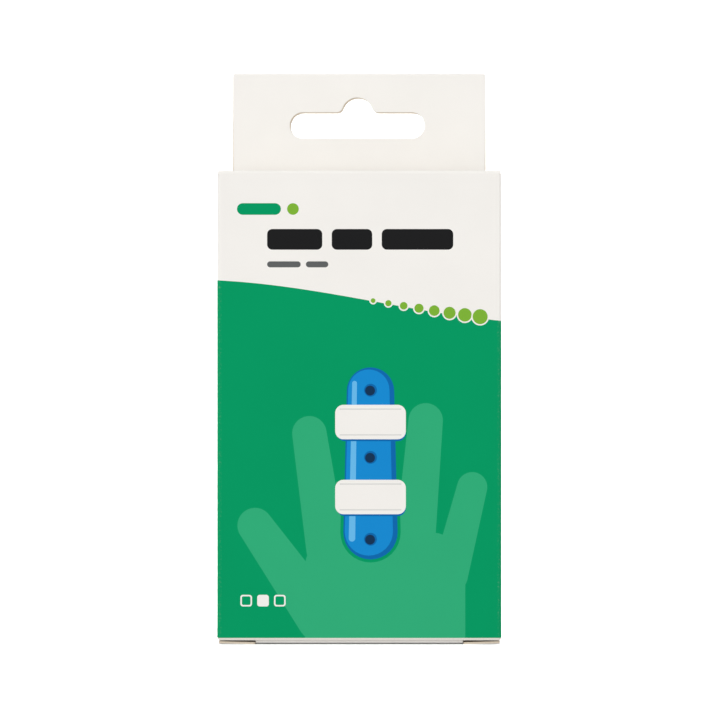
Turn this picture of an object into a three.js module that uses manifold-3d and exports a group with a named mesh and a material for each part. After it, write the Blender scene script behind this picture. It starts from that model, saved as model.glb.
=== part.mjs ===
// A small folding carton with a hang tab, as a finger splint is sold in.
// It stands on its bottom closure. Millimetres, +Z up, the front panel faces -Y,
// and the origin is the middle of the standing face.
//
// The real carton is one sheet of board. Here each panel that is folded about a
// crease of its own is a solid, with a small gap left at the crease.

import * as THREE from 'three';
import { mergeVertices } from 'three/addons/utils/BufferGeometryUtils.js';
import Module from 'manifold-3d';

const wasm = await Module();
wasm.setup();

// Board and clearances
const BOARD = 0.5; // thickness of the folding boxboard
const GAP = 0.3; // clearance at a crease and between two loose panels
const SWING_CLEARANCE = 0.2; // between a tuck flap's free edge and the wall that it swings past
const FOLD_RADIUS = 0.8; // outside radius of the four upright folds

// Sleeve
const WIDTH = 66; // outside, across the front panel
const DEPTH = 24; // outside, across a side panel
const HEIGHT = 110; // from the standing face to the top of the lid
const RAW_EDGE_GAP = 0.45; // slit between the front panel's cut edge and the lugs below it
const GLUE_FLAP_WIDTH = 12;
const GLUE_FLAP_END = 4; // from either end of the sleeve to the glue flap
const GLUE_FLAP_TAPER = 3; // how much shorter its free edge is at each end
const SEAM_OVERLAP = 0.1; // how far the glue flap is sunk into the wall that it is glued to

// Closures, one at each end
const PANEL_SIDE_CLEARANCE = 0.4; // a closure panel is this much narrower at each side
const TUCK_SIDE_CLEARANCE = 0.4; // between a tuck flap and the glue flap beside it
const TUCK_LENGTH = 10;
const TUCK_CORNER = 6; // radius of a tuck flap's two free corners
const SLIT_LENGTH = 9; // slit lock at each end of the bottom tuck crease
const SLIT_STEP = 0.4; // the lugs' inner ends slant by this much

// Dust flaps
const DUST_LENGTH = 22; // from the outside of the side panel
const DUST_SHOULDER = 6; // straight part of the edge beside the tuck flap
const DUST_TAPER = 4; // how far that edge then falls back
const DUST_CHAMFER = 3; // corner cut beside the closure's own crease

// Hang tab, two plies of board
const TAB_WIDTH = 60;
const TAB_HEIGHT = 24; // above the lid
const TAB_CORNER = 0.6;
const FRONT_PLY_RISE = 0.5; // from the lid's top to the folded ply's free edge

// Euro slot
const SLOT_WIDTH = 32;
const SLOT_BAR = 6.2; // height of its straight part
const SLOT_TOP_MARGIN = 5.7; // from the tab's top fold to the hump
const HUMP_RADIUS = 3.7;
const HUMP_RISE = 3.5; // of the hump above the straight part
const HUMP_FILLET = 0.9;
const SLOT_OFFSET = -0.5; // sideways, as die-cut
const PLY_SHIFT = 0.3; // how far the rear ply's slot lies right of and below the front one

const QUARTER = Math.PI / 2;
const FOLD_STEPS = 4; // in each upright fold
const ARC_STEPS = 8; // in each cut arc

const PRINTED = { color: 0x03965f, roughness: 0.5, metalness: 0 };
const WHITE = { color: 0xf0ede9, roughness: 0.55, metalness: 0 };

// Shared geometry helpers

function extrude(shape, thickness, curveSegments = ARC_STEPS) {
  return new THREE.ExtrudeGeometry(shape, { depth: thickness, bevelEnabled: false, curveSegments });
}

function solid(geometry) {
  const bare = geometry.clone();
  bare.deleteAttribute('normal');
  bare.deleteAttribute('uv');
  const merged = mergeVertices(bare, 1e-5);
  return new wasm.Manifold(new wasm.Mesh({
    numProp: 3,
    vertProperties: new Float32Array(merged.attributes.position.array),
    triVerts: new Uint32Array(merged.index.array),
  }));
}

function geometryOf(manifold) {
  const mesh = manifold.getMesh();
  const geometry = new THREE.BufferGeometry();
  geometry.setAttribute('position', new THREE.BufferAttribute(new Float32Array(mesh.vertProperties), 3));
  geometry.setIndex(new THREE.BufferAttribute(new Uint32Array(mesh.triVerts), 1));
  geometry.computeVertexNormals();
  return geometry;
}

function box(low, high) {
  const size = high.map((value, axis) => value - low[axis]);
  const middle = high.map((value, axis) => (value + low[axis]) / 2);
  return solid(new THREE.BoxGeometry(...size).translate(...middle));
}

function polygon(points) {
  return new THREE.Shape(points.map(([x, y]) => new THREE.Vector2(x, y)));
}

function roundedRectangle(target, width, height, radius) {
  const x = width / 2 - radius;
  const y = height / 2 - radius;
  target.absarc(x, y, radius, 0, QUARTER, false);
  target.absarc(-x, y, radius, QUARTER, 2 * QUARTER, false);
  target.absarc(-x, -y, radius, 2 * QUARTER, 3 * QUARTER, false);
  target.absarc(x, -y, radius, 3 * QUARTER, 4 * QUARTER, false);
  return target;
}

function piece(name, geometry, look) {
  const mesh = new THREE.Mesh(geometry, new THREE.MeshStandardMaterial(look));
  mesh.name = name;
  return mesh;
}

// Sleeve: four walls folded from one strip, with the glue flap inside the left one

const innerX = WIDTH / 2 - BOARD;
const innerY = DEPTH / 2 - BOARD;
const innerRadius = Math.max(FOLD_RADIUS - BOARD, SEAM_OVERLAP);

function sleeve() {
  const ring = roundedRectangle(new THREE.Shape(), WIDTH, DEPTH, FOLD_RADIUS);
  ring.holes.push(roundedRectangle(new THREE.Path(), 2 * innerX, 2 * innerY, innerRadius));
  const frontBottom = BOARD + RAW_EDGE_GAP;
  const frontTop = HEIGHT - BOARD - GAP;
  const backBottom = BOARD + GAP;
  const sideBottom = 2 * (BOARD + GAP); // the dust flap lies between it and the closure
  const sideTop = HEIGHT - sideBottom;

  let walls = solid(extrude(ring, HEIGHT, FOLD_STEPS));
  const farX = WIDTH; // the cutters run well past the walls
  const farY = DEPTH;
  const farZ = 2 * HEIGHT;
  for (const side of [-1, 1]) {
    const beside = [side * innerX, side * farX].sort((a, b) => a - b);
    walls = walls.subtract(box([beside[0], -farY, sideTop], [beside[1], farY, farZ]));
    walls = walls.subtract(box([beside[0], -farY, -farZ], [beside[1], farY, sideBottom]));
  }
  const frontFace = -innerY + innerRadius;
  const backFace = innerY - innerRadius;
  walls = walls.subtract(box([-farX, -farY, frontTop], [farX, frontFace, farZ]));
  walls = walls.subtract(box([-farX, -farY, -farZ], [farX, frontFace, frontBottom]));
  walls = walls.subtract(box([-farX, backFace, -farZ], [farX, farY, backBottom]));
  return walls.add(glueFlap());
}

function glueFlap() {
  const low = GLUE_FLAP_END;
  const high = HEIGHT - GLUE_FLAP_END;
  const outline = polygon([
    [innerY, low],
    [innerY, high],
    [innerY - GLUE_FLAP_WIDTH, high - GLUE_FLAP_TAPER],
    [innerY - GLUE_FLAP_WIDTH, low + GLUE_FLAP_TAPER],
  ]);
  const plate = extrude(outline, BOARD + SEAM_OVERLAP);
  // The outline is drawn in Y and Z, and its thickness then runs along X.
  plate.applyMatrix4(new THREE.Matrix4().makeBasis(
    new THREE.Vector3(0, 1, 0), new THREE.Vector3(0, 0, 1), new THREE.Vector3(1, 0, 0)));
  return solid(plate.translate(-innerX - SEAM_OVERLAP, 0, 0));
}

// Closures. Each is drawn about its hinge, the middle of the board at its crease with
// the sleeve: +Y runs from there to the tuck flap, and +Z out of the carton.

const panelHalfWidth = WIDTH / 2 - PANEL_SIDE_CLEARANCE;
const tuckHalfWidth = innerX - BOARD - TUCK_SIDE_CLEARANCE;
const innerFace = -BOARD / 2;
const hingeEdge = BOARD / 2 + GAP; // the panel starts here, clear of the wall it hinges on

// From the hinge to the tuck flap's outer face. The top flap goes in front of the hang
// tab's two plies, the bottom one behind the front panel.
const topReach = DEPTH - BOARD / 2 - 2 * BOARD - GAP;
const bottomReach = DEPTH - BOARD / 2 - BOARD - GAP;

function topPanel() {
  return extrude(polygon([
    [-panelHalfWidth, hingeEdge],
    [panelHalfWidth, hingeEdge],
    [panelHalfWidth, topReach],
    [-panelHalfWidth, topReach],
  ]), BOARD);
}

// The slit locks leave a lug at each front corner, flush with the front panel's face.
function bottomPanel() {
  const lugEnd = DEPTH - BOARD / 2;
  const slit = WIDTH / 2 - SLIT_LENGTH;
  return extrude(polygon([
    [-panelHalfWidth, hingeEdge],
    [panelHalfWidth, hingeEdge],
    [panelHalfWidth, lugEnd],
    [slit + SLIT_STEP, lugEnd],
    [slit, bottomReach],
    [-slit, bottomReach],
    [-slit - SLIT_STEP, lugEnd],
    [-panelHalfWidth, lugEnd],
  ]), BOARD);
}

// A tuck flap leans in just far enough for its free edge to swing past the wall. With
// the lean L, that edge's distance from the hinge gives  a cos L - b sin L = c.
function tuckLean(reach) {
  const limit = reach + GAP - SWING_CLEARANCE;
  const crease = reach - BOARD;
  const a = 2 * (crease * BOARD - innerFace * TUCK_LENGTH);
  const b = 2 * (crease * TUCK_LENGTH + innerFace * BOARD);
  const c = limit ** 2 - crease ** 2 - innerFace ** 2 - BOARD ** 2 - TUCK_LENGTH ** 2;
  return Math.acos(c / Math.hypot(a, b)) - Math.atan2(b, a);
}

function tuckFlap(reach) {
  const x = tuckHalfWidth;
  const end = -TUCK_LENGTH + TUCK_CORNER;
  const outline = new THREE.Shape();
  outline.absarc(-x + TUCK_CORNER, end, TUCK_CORNER, 2 * QUARTER, 3 * QUARTER, false);
  outline.absarc(x - TUCK_CORNER, end, TUCK_CORNER, 3 * QUARTER, 4 * QUARTER, false);
  outline.lineTo(x, -GAP);
  outline.lineTo(-x, -GAP);
  // Stood up, its thickness runs along +Y. It then leans in about its crease.
  const plate = extrude(outline, BOARD).rotateX(QUARTER).translate(0, BOARD, 0);
  return plate.rotateX(-tuckLean(reach)).translate(0, reach - BOARD, innerFace);
}

// A dust flap lies under the closure panel and keeps clear of the swinging tuck flap.
function dustFlap(reach, side) {
  const lean = tuckLean(reach);
  const tuckRadius = (reach - BOARD) * Math.cos(lean) - innerFace * Math.sin(lean);
  const bottom = innerFace - GAP - BOARD;
  const far = Math.sqrt((tuckRadius - GAP) ** 2 - bottom ** 2);
  const outer = WIDTH / 2;
  const tip = outer - DUST_LENGTH;
  const outline = polygon([
    [side * outer, hingeEdge],
    [side * outer, far],
    [side * (outer - DUST_SHOULDER), far],
    [side * tip, far - DUST_TAPER],
    [side * tip, hingeEdge + DUST_CHAMFER],
    [side * (tip + DUST_CHAMFER), hingeEdge],
  ]);
  return extrude(outline, BOARD).translate(0, 0, bottom);
}

function closure(end, panel, reach) {
  const group = new THREE.Group();
  group.add(piece(`${end}_closure_panel`, panel.translate(0, 0, innerFace), WHITE));
  group.add(piece(`${end}_tuck_flap`, tuckFlap(reach), WHITE));
  group.add(piece(`${end}_left_dust_flap`, dustFlap(reach, -1), WHITE));
  group.add(piece(`${end}_right_dust_flap`, dustFlap(reach, 1), WHITE));
  return group;
}

function topClosure() {
  const group = closure('top', topPanel(), topReach);
  group.position.set(0, -DEPTH / 2 + BOARD / 2, HEIGHT - BOARD / 2);
  return group;
}

// The bottom closure is hinged at the back, so it is turned over about X.
function bottomClosure() {
  const group = closure('bottom', bottomPanel(), bottomReach);
  group.rotation.x = Math.PI;
  group.position.set(0, DEPTH / 2 - BOARD / 2, BOARD / 2);
  return group;
}

// Hang tab: the back panel's extension is folded forward and down, and glued to itself

const tabTop = HEIGHT + TAB_HEIGHT;

function euroSlot(offsetX, offsetZ) {
  const end = SLOT_BAR / 2;
  const top = tabTop - SLOT_TOP_MARGIN - HUMP_RISE + offsetZ;
  const left = offsetX - SLOT_WIDTH / 2 + end;
  const right = offsetX + SLOT_WIDTH / 2 - end;
  // Each fillet touches the straight edge and the hump's circle.
  const humpZ = top + HUMP_RISE - HUMP_RADIUS;
  const filletZ = top + HUMP_FILLET;
  const filletX = Math.sqrt((HUMP_RADIUS + HUMP_FILLET) ** 2 - (filletZ - humpZ) ** 2);
  const meet = Math.atan2(filletZ - humpZ, filletX);
  const hole = new THREE.Path();
  hole.absarc(right, top - end, end, -QUARTER, QUARTER, false);
  hole.absarc(offsetX + filletX, filletZ, HUMP_FILLET, -QUARTER, meet - 2 * QUARTER, true);
  hole.absarc(offsetX, humpZ, HUMP_RADIUS, meet, 2 * QUARTER - meet, false);
  hole.absarc(offsetX - filletX, filletZ, HUMP_FILLET, -meet, -QUARTER, true);
  hole.absarc(left, top - end, end, QUARTER, 3 * QUARTER, false);
  return hole;
}

// A ply is drawn in X and Z, and its thickness then runs forward from Y 0.
function tabPly(base, hole) {
  const x = TAB_WIDTH / 2;
  const corner = tabTop - TAB_CORNER;
  const ply = new THREE.Shape();
  ply.moveTo(-x, base);
  ply.lineTo(x, base);
  ply.absarc(x - TAB_CORNER, corner, TAB_CORNER, 0, QUARTER, false);
  ply.absarc(-x + TAB_CORNER, corner, TAB_CORNER, QUARTER, 2 * QUARTER, false);
  ply.holes.push(hole);
  return extrude(ply, BOARD).rotateX(QUARTER);
}

function hangTab() {
  const rear = tabPly(HEIGHT + GAP, euroSlot(SLOT_OFFSET + PLY_SHIFT, -PLY_SHIFT));
  const front = tabPly(HEIGHT + FRONT_PLY_RISE, euroSlot(SLOT_OFFSET, 0));
  rear.translate(0, DEPTH / 2, 0);
  front.translate(0, DEPTH / 2 - BOARD, 0);
  return solid(rear).add(solid(front));
}

// Assembly

const carton = new THREE.Group();
carton.add(piece('sleeve', geometryOf(sleeve()), PRINTED));
carton.add(piece('hang_tab', geometryOf(hangTab()), WHITE));
carton.add(topClosure());
carton.add(bottomClosure());

export default carton;
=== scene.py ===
import math

import bmesh
import bpy
import numpy as np
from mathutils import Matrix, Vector, noise
from mathutils.geometry import delaunay_2d_cdt


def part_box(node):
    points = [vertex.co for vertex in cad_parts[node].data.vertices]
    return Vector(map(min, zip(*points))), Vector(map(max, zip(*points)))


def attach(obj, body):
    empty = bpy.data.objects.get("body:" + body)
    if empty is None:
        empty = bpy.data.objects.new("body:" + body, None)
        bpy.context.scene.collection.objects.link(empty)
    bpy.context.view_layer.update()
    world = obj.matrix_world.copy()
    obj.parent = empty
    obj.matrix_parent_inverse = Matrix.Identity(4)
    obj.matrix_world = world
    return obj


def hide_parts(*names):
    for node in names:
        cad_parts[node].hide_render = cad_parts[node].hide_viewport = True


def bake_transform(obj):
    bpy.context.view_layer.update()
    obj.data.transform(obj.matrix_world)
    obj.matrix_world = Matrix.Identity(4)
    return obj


bl_info = {
    "name": "Hang-Tab Carton",
    "version": (1, 0, 0),
    "blender": (4, 5, 0),
    "location": "3D View > Sidebar > Carton",
    "description": "Folds a printed carton with a hang tab round its packed frame",
    "category": "Object",
}

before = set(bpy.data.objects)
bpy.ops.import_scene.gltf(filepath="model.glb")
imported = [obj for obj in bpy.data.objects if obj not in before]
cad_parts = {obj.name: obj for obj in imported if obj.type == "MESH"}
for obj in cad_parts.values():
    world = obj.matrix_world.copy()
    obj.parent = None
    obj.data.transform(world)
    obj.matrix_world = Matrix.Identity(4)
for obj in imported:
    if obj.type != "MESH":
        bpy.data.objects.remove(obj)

# Lengths inside this file are millimetres, and become metres in the meshes.
MM = 0.001


def corners(node):
    """Lowest and highest corner of a node at rest."""
    low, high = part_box(node)
    return low / MM, high / MM


def linear(red, green, blue):
    """A colour as it looks on a screen, 0 to 255, as the linear values that shaders take."""
    shares = [value / 255 for value in (red, green, blue)]
    return tuple(s / 12.92 if s <= 0.04045 else ((s + 0.055) / 1.055) ** 2.4 for s in shares)


def length(label, description, millimetres):
    """A length that a user can change, given here in millimetres."""
    return bpy.props.FloatProperty(
        name=label, description=description, default=millimetres * MM, min=0.0,
        unit="LENGTH", precision=5)


def colour(label, description, red, green, blue):
    """A colour that a user can change, given here as it looks on a screen."""
    return bpy.props.FloatVectorProperty(
        name=label, description=description, default=linear(red, green, blue),
        subtype="COLOR", min=0.0, max=1.0)


# Sizes and colours that a user would change


class CartonBoard(bpy.types.PropertyGroup):
    """The board, its folds and how flat it lies."""

    thickness: length("Thickness", "Thickness of the folding boxboard", 0.5)
    coat: length("Coat", "White coat on the printed side, which shows at a cut edge", 0.06)
    ply_gap: length("Ply gap", "Between the two glued plies of the hang tab", 0.06)
    fold_radius: length("Fold radius", "Outside radius of a crease folded square", 0.8)
    tuck_length: length("Tuck length", "From a tuck crease to the flap's free edge", 10.0)
    tuck_corner: length("Tuck corner", "Radius of a tuck flap's free corners", 6.0)
    slit_length: length("Slit length", "Slit lock at each end of the bottom tuck crease", 9.0)
    slit_step: length("Slit step", "How far the lugs' inner ends slant", 0.4)
    sag: length("Sag", "How far a panel dips between its folds", 0.16)
    grid: length("Grid", "Spacing of the mesh points inside a panel", 3.0)


class CartonPrint(bpy.types.PropertyGroup):
    """The colours of the board and of its inks."""

    white: colour("White", "Coated white board", 243, 240, 235)
    green: colour("Green", "Main ink", 0, 152, 97)
    lime: colour("Lime", "Light green ink of the dots", 126, 178, 56)
    mint: colour("Mint", "Paler green ink of the drawn hand", 48, 172, 120)
    navy: colour("Navy", "Dark blue ink of the splint's holes", 20, 52, 84)
    blue: colour("Blue", "Blue ink of the splint drawing", 22, 137, 208)
    deep: colour("Deep blue", "Darker blue ink of the splint's shaded side", 12, 104, 172)
    pale: colour("Pale blue", "Pale blue ink of the splint's highlight", 104, 184, 232)
    silver: colour("Silver", "Light grey ink of the straps' seams", 208, 208, 205)
    black: colour("Black", "Black ink of the heading's bars", 30, 30, 31)
    grey: colour("Grey", "Grey ink of the small bars", 96, 98, 98)
    inside: colour("Inside", "Uncoated inner face of the board", 229, 218, 202)
    edge: colour("Edge", "Core of the board at a cut edge", 214, 200, 180)
    crushed: colour("Crushed edge", "White coat that the cutting rule has pressed", 226, 221, 212)


class CartonStudio(bpy.types.PropertyGroup):
    """The camera and the light."""

    camera_distance: bpy.props.FloatProperty(
        name="Camera distance", description="From the camera to the front panel",
        default=1.015, min=0.3, unit="LENGTH")
    camera_height: bpy.props.FloatProperty(
        name="Camera height", description="Above the floor", default=0.066, min=0.0,
        unit="LENGTH")
    view_width: bpy.props.FloatProperty(
        name="View width", description="Width of the picture at the front panel",
        default=0.1671, min=0.05, unit="LENGTH")
    floor_tone: bpy.props.FloatProperty(
        name="Floor tone", description="How much light the floor gives back",
        default=0.9, min=0.0, max=1.0, subtype="FACTOR")
    sky: bpy.props.FloatProperty(
        name="Sky", description="Light from all round, above the horizon", default=0.42, min=0.0)
    ground: bpy.props.FloatProperty(
        name="Ground", description="Light from all round, below the horizon", default=0.8,
        min=0.0)


# Flat shapes, as lists of points


def arc(centre_x, centre_y, radius, start, end, steps):
    """Points on an arc, with its angles in degrees."""
    angles = [math.radians(start + (end - start) * step / steps) for step in range(steps + 1)]
    return [(centre_x + radius * math.cos(a), centre_y + radius * math.sin(a)) for a in angles]


def circle(x, y, radius, steps=40):
    """A circle, without its first point again at the end."""
    return arc(x, y, radius, 0, 360, steps)[:-1]


def rounded_bar(left, low, right, high, radius, steps=7):
    """A rectangle with round corners."""
    return (
        arc(right - radius, high - radius, radius, 0, 90, steps)
        + arc(left + radius, high - radius, radius, 90, 180, steps)
        + arc(left + radius, low + radius, radius, 180, 270, steps)
        + arc(right - radius, low + radius, radius, 270, 360, steps)
    )


def capsule(base, tip, base_width, tip_width, steps=16):
    """A finger shape, round at both ends."""
    angle = math.degrees(math.atan2(tip[1] - base[1], tip[0] - base[0]))
    return (
        arc(*tip, tip_width / 2, angle - 90, angle + 90, steps)
        + arc(*base, base_width / 2, angle + 90, angle + 270, steps)
    )


# A sheet of board, drawn flat and then folded along a path

TINY = 1e-9
FLAT_TOLERANCE = 1e-5  # points of a flat drawing that are nearer than this are one
FOLD_STEPS = 9  # faces round a fold
BESIDE_FOLD = (0.35, 1.1)  # extra mesh lines beside a fold, where its wear and curve end
EDGE_WEAR = 0.5  # how far wear reaches in from a cut edge
GRID_TO_EDGE = 1 / 4  # a grid point's least distance to an edge, as a share of the grid
GRID_TO_LINE = 1 / 6  # and to a guide line
WELD_DISTANCE = 0.002
SHARP_ANGLE = 35  # degrees between two faces that meet in a hard edge


class FoldPath:
    """The line that a sheet's outer face follows, from one straight or fold to the next.

    It runs in a plane of its own, with the inside of the carton on its left.
    """

    def __init__(self, start, heading):
        self.end = Vector(start)
        self.heading = math.radians(heading)
        self.reach = 0.0
        self.stretches = []
        self.folds = []

    def straight(self, distance):
        """Go on without turning."""
        self.stretches.append((self.reach, self.end.copy(), self.heading, None))
        self.end += distance * Vector((math.cos(self.heading), math.sin(self.heading)))
        self.reach += distance
        return self

    def fold(self, radius, degrees):
        """Turn left on an arc, with the radius of the outer face."""
        start = self.reach
        self.stretches.append((start, self.end.copy(), self.heading, radius))
        self.reach += radius * math.radians(degrees)
        self.end = self.at(self.reach)[0]
        self.heading += math.radians(degrees)
        self.folds.append((start, self.reach))
        return self

    def at(self, distance):
        """The point at that distance along the path, and the outward direction there."""
        begun = [s for s in self.stretches if s[0] <= distance + TINY] or self.stretches[:1]
        start, point, heading, radius = begun[-1]
        outward = Vector((math.sin(heading), -math.cos(heading)))
        if radius is None:
            ahead = Vector((math.cos(heading), math.sin(heading)))
            return point + ahead * (distance - start), outward
        centre = point - outward * radius
        turned = heading + (distance - start) / radius
        outward = Vector((math.sin(turned), -math.cos(turned)))
        return centre + outward * radius, outward


def inside(points, polygon):
    """Which of the points lie in a polygon, by counting the edges to the right of each."""
    found = np.zeros(len(points), bool)
    x, y = points[:, 0], points[:, 1]
    ends = np.roll(polygon, -1, axis=0)
    for (x0, y0), (x1, y1) in zip(polygon, ends):
        if y0 == y1:
            continue
        crossing = (y0 > y) != (y1 > y)
        found ^= crossing & (x < x0 + (y - y0) * (x1 - x0) / (y1 - y0))
    return found


def distance_to(points, polygon):
    """Distance of each point to a polygon's line."""
    nearest = np.full(len(points), np.inf)
    ends = np.roll(polygon, -1, axis=0)
    for start, end in zip(polygon, ends):
        along = end - start
        share = np.clip(((points - start) @ along) / max(along @ along, 1e-12), 0, 1)
        gap = np.linalg.norm(points - start - share[:, None] * along, axis=1)
        nearest = np.minimum(nearest, gap)
    return nearest


def smooth_step(value, low, high):
    """0 below low, 1 above high and a smooth rise between them."""
    share = np.clip((value - low) / (high - low), 0, 1)
    return share * share * (3 - 2 * share)


def guide_lines(path):
    """Distances along the path where the mesh needs a line across the sheet."""
    lines = []
    for start, end in path.folds:
        lines += [start + (end - start) * step / FOLD_STEPS for step in range(FOLD_STEPS + 1)]
        lines += [start - gap for gap in BESIDE_FOLD] + [end + gap for gap in BESIDE_FOLD]
    return sorted(line for line in lines if 0 < line < path.reach)


class Sheet:
    """A flat outline with its holes and printed regions, which is folded into a closed shell.

    Flat points are (distance along the path, place across it). place(a, b, across) turns a
    point (a, b) of the path's plane into one in the carton's frame. regions are polygons
    with the name of their finish, and later ones lie over earlier ones. sag gives how far
    each flat point is pressed in.
    """

    def __init__(self, path, outline, place, holes=(), regions=(), sag=None):
        self.path = path
        self.outline = np.array(outline, float)
        self.place = place
        self.holes = [np.array(hole, float) for hole in holes]
        self.regions = regions
        self.sag = sag

    def triangles(self, grid):
        """Flat points, triangles of them and the material name of each triangle."""
        points = []
        edges = []

        def add_loop(loop):
            first = len(points)
            points.extend(Vector(point) for point in loop)
            edges.extend((first + i, first + (i + 1) % len(loop)) for i in range(len(loop)))

        add_loop(self.outline)
        for hole in self.holes:
            add_loop(hole)
        for polygon, _ in self.regions:
            add_loop(polygon)
        low = self.outline.min(axis=0)
        high = self.outline.max(axis=0)
        for line in guide_lines(self.path):
            edges.append((len(points), len(points) + 1))
            points += [Vector((line, low[1] - grid)), Vector((line, high[1] + grid))]
        points += [Vector(point) for point in self.grid_points(low, high, grid)]
        found = delaunay_2d_cdt(points, edges, [], 0, FLAT_TOLERANCE)
        flat = np.array([tuple(point) for point in found[0]], float)
        faces = np.array(found[2], int)
        middles = flat[faces].mean(axis=1)
        kept = inside(middles, self.outline)
        for hole in self.holes:
            kept &= ~inside(middles, hole)
        names = np.full(len(faces), "white board", object)
        for polygon, name in self.regions:
            names[inside(middles, np.array(polygon, float))] = name
        return flat, faces[kept], names[kept]

    def grid_points(self, low, high, grid):
        """Points inside the sheet, clear of its edges and folds, so that no thin faces form."""
        across = np.arange(low[1] + grid / 2, high[1], grid)
        along = np.arange(low[0] + grid / 2, high[0], grid)
        spots = np.array([(u, t) for u in along for t in across])
        if not len(spots):
            return []
        margin = grid * GRID_TO_EDGE
        clear = inside(spots, self.outline) & (distance_to(spots, self.outline) > margin)
        for hole in self.holes:
            clear &= ~inside(spots, hole) & (distance_to(spots, hole) > margin)
        for line in guide_lines(self.path):
            clear &= np.abs(spots[:, 0] - line) > grid * GRID_TO_LINE
        return spots[clear]

    def wear(self, flat):
        """How near each point is to a fold, and to a cut edge, from 0 to 1."""
        fold = np.zeros(len(flat))
        for start, end in self.path.folds:
            away = np.maximum(np.maximum(start - flat[:, 0], flat[:, 0] - end), 0)
            fold = np.maximum(fold, 1 - smooth_step(away, 0, BESIDE_FOLD[0]))
        edge = distance_to(flat, self.outline)
        for hole in self.holes:
            edge = np.minimum(edge, distance_to(flat, hole))
        return fold, 1 - smooth_step(edge, 0, EDGE_WEAR)

    def shell(self, board, thickness=None):
        """The folded sheet: points in metres, faces with their finishes, and for each point
        its flat place, how near it is to a fold and how near to a cut edge.
        """
        thickness = thickness or board.thickness / MM
        coat = board.coat / MM
        flat, faces, names = self.triangles(board.grid / MM)
        used, faces = np.unique(faces, return_inverse=True)
        flat = flat[used]
        faces = faces.reshape(-1, 3)
        dip = np.zeros(len(flat)) if self.sag is None else self.sag(flat)

        outer, line, inner = [
            [self.folded(u, t, depth + sunk) for (u, t), sunk in zip(flat, dip)]
            for depth in (0.0, coat, thickness)]
        first, second, third = faces[0]
        normal = (outer[second] - outer[first]).cross(outer[third] - outer[first])
        if normal.dot(outer[first] - inner[first]) < 0:
            faces = faces[:, ::-1]

        count = len(flat)
        faces = faces.tolist()
        made = [(tuple(face), name) for face, name in zip(faces, names)]
        for face in faces:
            made.append((tuple(2 * count + i for i in reversed(face)), "inner board"))
        sides = [(face[i], face[(i + 1) % 3]) for face in faces for i in range(3)]
        known = set(sides)
        for start, end in sides:
            if (end, start) in known:
                continue
            for layer, name in ((0, "white board"), (count, "cut board")):
                below = layer + count
                made.append(((end + layer, start + layer, start + below, end + below), name))
        fold, edge = self.wear(flat)
        spread = np.column_stack([flat, np.zeros(count)])
        points = outer + line + inner
        return points, made, np.tile(spread, (3, 1)), np.tile(fold, 3), np.tile(edge, 3)

    def folded(self, u, t, depth):
        """Where a flat point lies on the folded sheet, at that depth below its outer face."""
        point, outward = self.path.at(u)
        a, b = point - outward * depth
        return Vector(self.place(a, b, t)) * MM


def join_shells(name, shells):
    """One object from folded sheets. Where two sheets meet, their shared end faces go."""
    points, faces, flat, fold, edge = [], [], [], [], []
    for more_points, more_faces, more_flat, more_fold, more_edge in shells:
        first = len(points)
        points += more_points
        faces += [(tuple(first + i for i in face), material) for face, material in more_faces]
        flat.append(more_flat)
        fold.append(more_fold)
        edge.append(more_edge)
    names = sorted({material for _, material in faces})
    mesh = bpy.data.meshes.new(name)
    mesh.from_pydata([tuple(point) for point in points], [], [face for face, _ in faces])
    for material in names:
        mesh.materials.append(finish(material))
    mesh.polygons.foreach_set("material_index", [names.index(material) for _, material in faces])
    store(mesh, "flat", "FLOAT_VECTOR", "vector", np.concatenate(flat))
    store(mesh, "fold", "FLOAT", "value", np.concatenate(fold))
    store(mesh, "rim", "FLOAT", "value", np.concatenate(edge))
    weld(mesh)
    mesh.polygons.foreach_set("use_smooth", [True] * len(mesh.polygons))
    mesh.set_sharp_from_angle(angle=math.radians(SHARP_ANGLE))
    mesh.update()
    piece = bpy.data.objects.new(name, mesh)
    bpy.context.scene.collection.objects.link(piece)
    return piece


def store(mesh, name, kind, field, values):
    """Keep one value for each point of the mesh, for the finishes to read."""
    attribute = mesh.attributes.new(name, kind, "POINT")
    attribute.data.foreach_set(field, np.asarray(values, np.float32).ravel())


def weld(mesh):
    """Merges points that lie together, without the end faces that two shells share there."""
    work = bmesh.new()
    work.from_mesh(mesh)
    found = bmesh.ops.find_doubles(work, verts=work.verts, dist=WELD_DISTANCE * MM)
    merged = found["targetmap"]
    seen = {}
    for face in work.faces:
        ends = frozenset(merged.get(vertex, vertex) for vertex in face.verts)
        seen.setdefault(ends, []).append(face)
    shared = [face for group in seen.values() if len(group) > 1 for face in group]
    bmesh.ops.delete(work, geom=shared, context="FACES_ONLY")
    bmesh.ops.weld_verts(work, targetmap=merged)
    loose = [vertex for vertex in work.verts if not vertex.link_faces]
    bmesh.ops.delete(work, geom=loose, context="VERTS")
    work.to_mesh(mesh)
    work.free()


# Finishes

# How fine each noise is, in waves for a millimetre
CLOUDS = 0.06
RIPPLES = 0.22
SPECKS = 1.4
CHIPS = 1.9
SPECKLE = 2.6
COAT_BUMP = 0.00005  # metres
FIBRE_BUMP = 0.00006


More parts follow.
